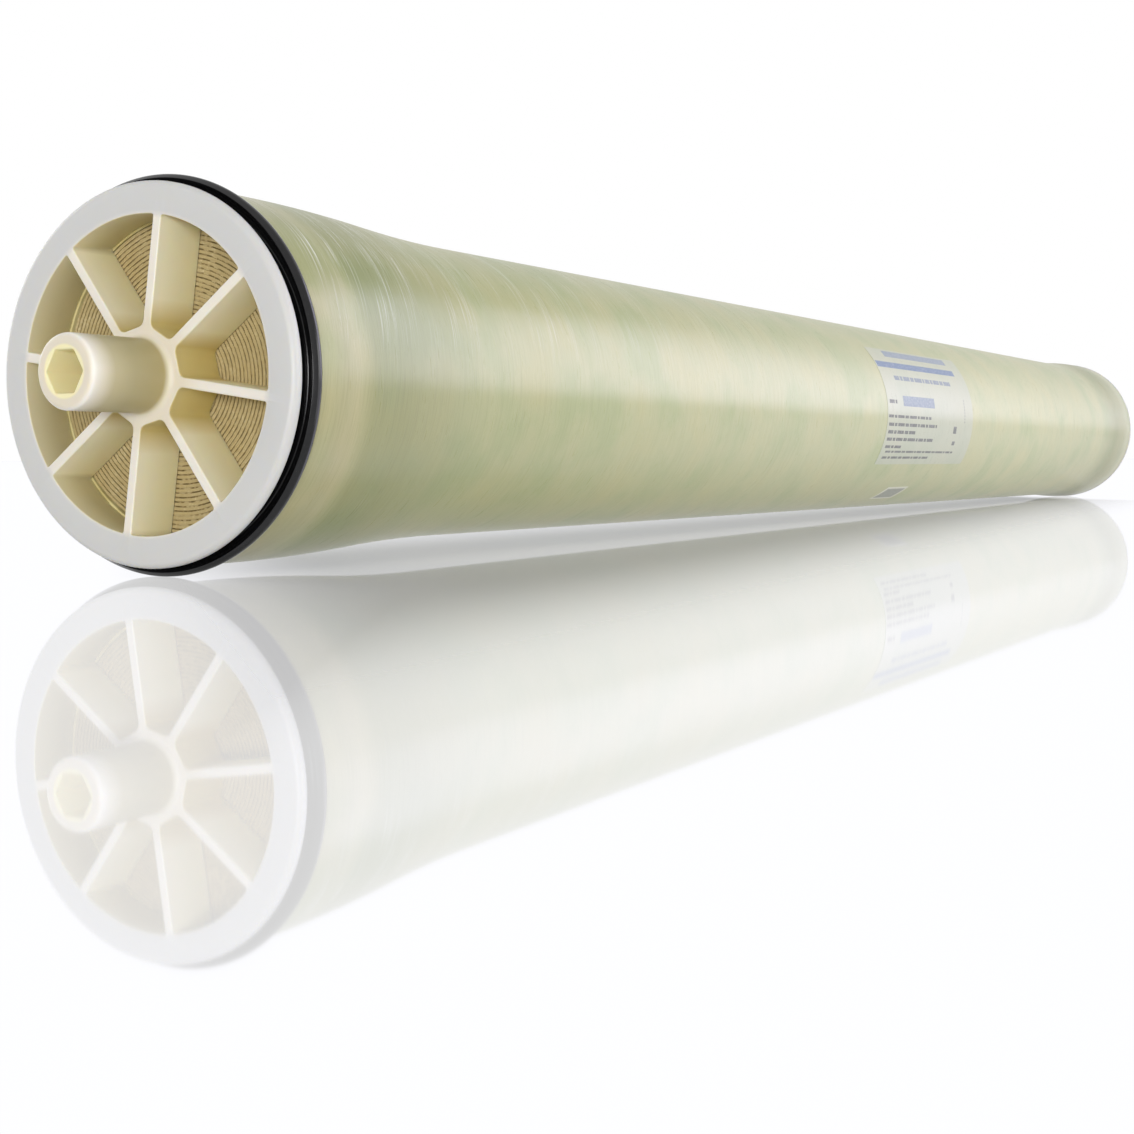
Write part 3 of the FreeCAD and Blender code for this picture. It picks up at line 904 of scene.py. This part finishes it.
class ELEMENT_OT_label(bpy.types.Operator):
    """Lay the film label, its stripe and lines, and the small tag below it on the shell"""

    bl_idname = "element.label"
    bl_label = "Label"

    def patch(self, name, x_range, turns, radius, thickness, lean=0.0, corner=0.0):
        """A thin film on the shell between two places along it and two angles about it."""
        start, end = turns
        draw(name, [around(x_range[0], radius, start), around(x_range[1], radius, start)])
        select_whole()
        spin(end - start, max(2, round(abs(math.degrees(end - start)) / 1.5)))
        if lean:
            mesh = bmesh.from_edit_mesh(bpy.context.object.data)
            for vertex in mesh.verts:
                turn = math.atan2(vertex.co.z, vertex.co.y) % TURN
                vertex.co.x += lean * (turn - start) / (end - start)
            bmesh.update_edit_mesh(bpy.context.object.data)
        if corner:
            choose("verts", lambda vertex: len(vertex.link_edges) == 2)
            bpy.ops.mesh.bevel(offset=corner, segments=4, affect="VERTICES")
        close_mesh()
        piece = bpy.context.object
        first = piece.data.polygons[0]
        outwards = first.normal.dot(Vector((0, first.center.y, first.center.z))) > 0
        apply_modifier(piece, "SOLIDIFY", thickness=thickness, offset=1 if outwards else -1)
        return piece

    def execute(self, context):
        sizes, shell = context.scene.element_label, context.scene.element_shell
        film = self.patch(
            "label_film", (LABEL_LOW.x, LABEL_HIGH.x), (sizes.start, sizes.end), shell.body, sizes.film,
            corner=sizes.corner)
        backing = wound_fibreglass("Polyester film over wound glass", shell, sizes.film_colour)
        finish_piece(film, backing, ["label"])
        surface = shell.body + sizes.film

        def bar(x_start, x_end, up_start, up_end):
            """A printed bar; places run from the label's left edge, angles upwards from the side."""
            return self.patch(
                "bar", (LABEL_LOW.x + x_start * MM, LABEL_LOW.x + x_end * MM),
                (math.radians(180 - up_start), math.radians(180 - up_end)), surface, sizes.ink)

        def row(x_start, x_end, up_start, up_end):
            """A row of short bars with even gaps, in place of a line of print."""
            bars, place = [], x_start
            while place < x_end - 2:
                long = min(ROW_BARS[len(bars) % len(ROW_BARS)], x_end - place)
                bars.append(bar(place, place + long, up_start, up_end))
                place += long + ROW_GAP
            return bars

        def printed(name, bars, finish, colour):
            """Join bars into one print of one ink."""
            finish_piece(joined(name, bars), ink(finish, colour))

        printed("label_stripe", [bar(1.5, 120, 32.8, 28.7)], "Blue ink, printed", sizes.blue_colour)
        printed(
            "label_fields", [bar(21, 116, 41.6, 37.0), bar(23, 70.5, 11.2, 5.0)], "Pale blue ink, printed",
            sizes.pale_colour)
        printed("label_title", row(18, 106, 23.6, 20.8), "Blue-grey ink, printed", sizes.title_colour)
        lines = [piece for place in LABEL_ROWS for piece in row(*place)]
        lines += [bar(102.5, 107.5, -5.6, -10.2), bar(104.5, 109, -15.2, -17.8)]
        lines += [bar(120, 121.2, up, up - 0.7) for up in range(12, -4, -2)]
        printed("label_lines", lines, "Grey ink, printed", sizes.grey_colour)

        tag_turns = [math.atan2(z, y) % TURN for y, z in ((TAG_LOW.y, TAG_HIGH.z), (TAG_HIGH.y, TAG_LOW.z))]
        lean = -4 * MM
        tag = self.patch(
            "serial_tag_film", (TAG_LOW.x - lean, TAG_HIGH.x), tag_turns, shell.body, sizes.film,
            lean=lean, corner=0.6 * MM)
        finish_piece(tag, ink("Pale polyester tag", sizes.tag_colour), ["serial_tag"])
        inner_turns = (tag_turns[0] + sizes.tag_edge / shell.body, tag_turns[1] - sizes.tag_edge / shell.body)
        field = self.patch(
            "serial_tag_field", (TAG_LOW.x - lean + 2 * sizes.tag_edge, TAG_HIGH.x - 2 * sizes.tag_edge),
            inner_turns, surface, sizes.ink, lean=lean)
        printed("serial_tag_field", [field], "Grey ink on the tag", sizes.field_colour)
        return {"FINISHED"}


class ELEMENT_OT_stage(bpy.types.Operator):
    """Set the pale floor, the studio light, the white surroundings and the camera"""

    bl_idname = "element.stage"
    bl_label = "Stage"

    def floor(self, sizes):
        """A floor that the seal's lip and the far flange both rest on."""
        seal_x, far_x = SEAL_LOW.x + 4 * MM, FACE_X - 2 * MM
        slope = math.atan((LIP_RADIUS - FAR_CAP_HIGH.z) / (far_x - seal_x))
        deselect_all()
        bpy.ops.mesh.primitive_circle_add(
            vertices=96, radius=sizes.floor_radius, fill_type="NGON", rotation=(0, -slope, 0),
            location=(seal_x, 0, -LIP_RADIUS))
        floor = bpy.context.object
        floor.name = floor.data.name = "floor"
        bpy.ops.object.transform_apply(location=True, rotation=True, scale=True)
        bpy.ops.object.shade_smooth()
        material, place = new_material("Pale polished floor")
        tree = material.node_tree
        shader = next(n for n in tree.nodes if n.type == "BSDF_PRINCIPLED")
        set_shader(material, Base_Color=sizes.floor_colour, Roughness=0.6, Specular_IOR_Level=0.0)
        # Painted light: away from the object the floor glows white to the camera, so its shadow shows only near
        # the object.
        clear = 0
        for along, aside, start, end in PAINTED_GLOW_SIDES:
            way = add_node(material, "VectorMath", {
                0: place["Object"], 1: (along, aside, 0)}, operation="DOT_PRODUCT")
            away = add_node(material, "MapRange", {
                "Value": way, "From Min": start, "From Max": end},
                interpolation_type="SMOOTHSTEP")
            clear = add_node(material, "Math", {
                0: away, 1: clear}, operation="MAXIMUM")
        glow = add_node(material, "Emission", {"Color": grey(1), "Strength": FLOOR_GLOW})
        direct, sent_on, seen = ray_kinds(material)
        viewed = add_node(material, "Math", {0: direct, 1: clear}, operation="MULTIPLY")
        share = add_node(material, "Math", {0: viewed, 1: sent_on}, operation="MAXIMUM")
        white = add_node(material, "MixShader", {
            "Fac": share, 1: shader, 2: glow})
        mirror = add_node(material, "BsdfAnisotropic", {
            "Color": sizes.mirror_colour, "Roughness": 0.03})
        polish = add_node(material, "Math", {0: seen, 1: sizes.polish}, operation="MULTIPLY")
        blend = add_node(material, "MixShader", {
            "Fac": polish, 1: white, 2: mirror})
        output = next(n for n in tree.nodes if n.type == "OUTPUT_MATERIAL")
        tree.links.new(blend.outputs["Shader"], output.inputs["Surface"])
        floor.data.materials.append(material)

    def world(self):
        """Soft light all round, which looks white to the camera and in what is glossy or clear."""
        world = bpy.context.scene.world or bpy.data.worlds.new("Studio")
        bpy.context.scene.world = world
        world.use_nodes = True
        tree = world.node_tree
        tree.nodes.clear()
        soft = add_node(world, "Background", {"Color": grey(1), "Strength": SURROUND})
        white = add_node(world, "Background", {"Color": grey(1), "Strength": WHITE})
        blend = add_node(world, "MixShader", {
            "Fac": ray_kinds(world)[2], 1: soft, 2: white})
        add_node(world, "OutputWorld", {"Surface": blend})

    def softbox(self, name, place, target, width, height, power, tint=(1, 1, 1)):
        """A lamp behind a rectangular diffuser: metres, watts, and its tint."""
        deselect_all()
        bpy.ops.object.light_add(type="AREA", location=place)
        lamp = bpy.context.object
        lamp.name = name
        lamp.data.shape = "RECTANGLE"
        lamp.data.size, lamp.data.size_y = width, height
        lamp.data.energy = power
        lamp.data.color = tint
        lamp.rotation_euler = (Vector(target) - Vector(place)).to_track_quat("-Z", "Y").to_euler()

    def execute(self, context):
        sizes = context.scene.element_stage
        self.floor(sizes)
        self.world()
        for lamp in SOFTBOXES:
            self.softbox(*lamp)
        deselect_all()
        bpy.ops.object.camera_add(location=CAMERA_PLACE)
        camera = bpy.context.object
        gaze = Vector((
            math.cos(CAMERA_YAW) * math.cos(CAMERA_PITCH), math.sin(CAMERA_YAW) * math.cos(CAMERA_PITCH),
            math.sin(CAMERA_PITCH)))
        camera.rotation_euler = gaze.to_track_quat("-Z", "Y").to_euler()
        camera.data.sensor_width = 36
        camera.data.lens = sizes.lens
        camera.data.clip_start = 0.01
        bpy.context.scene.camera = camera
        bpy.context.scene.view_settings.view_transform = "Standard"
        return {"FINISHED"}


class ELEMENT_PT_panel(bpy.types.Panel):
    """Lists the element's pieces, with their sizes and colours"""

    bl_idname = "ELEMENT_PT_panel"
    bl_label = "Membrane element"
    bl_space_type = "VIEW_3D"
    bl_region_type = "UI"
    bl_category = "Element"

    def draw(self, context):
        for operator, sizes, _ in STEPS:
            box = self.layout.box()
            box.operator(operator.bl_idname)
            group = getattr(context.scene, sizes)
            for key in group.bl_rna.properties.keys():
                if key not in ("rna_type", "name"):
                    box.prop(group, key)


STEPS = (
    (ELEMENT_OT_caps, "element_caps", CapSizes),
    (ELEMENT_OT_seal, "element_seal", SealSizes),
    (ELEMENT_OT_roll, "element_roll", RollSizes),
    (ELEMENT_OT_shell, "element_shell", ShellSizes),
    (ELEMENT_OT_label, "element_label", LabelSizes),
    (ELEMENT_OT_stage, "element_stage", StageSizes),
)
CLASSES = tuple(group for _, _, group in STEPS) + tuple(operator for operator, _, _ in STEPS) + (ELEMENT_PT_panel,)


def register():
    for cls in CLASSES:
        bpy.utils.register_class(cls)
    for _, name, group in STEPS:
        setattr(bpy.types.Scene, name, bpy.props.PointerProperty(type=group))


def unregister():
    for _, name, _ in STEPS:
        delattr(bpy.types.Scene, name)
    for cls in reversed(CLASSES):
        bpy.utils.unregister_class(cls)


def main():
    register()
    for operator, _, _ in STEPS:
        area, name = operator.bl_idname.split(".")
        getattr(getattr(bpy.ops, area), name)()
    deselect_all()
    bpy.context.view_layer.update()


if __name__ == "__main__":
    main()
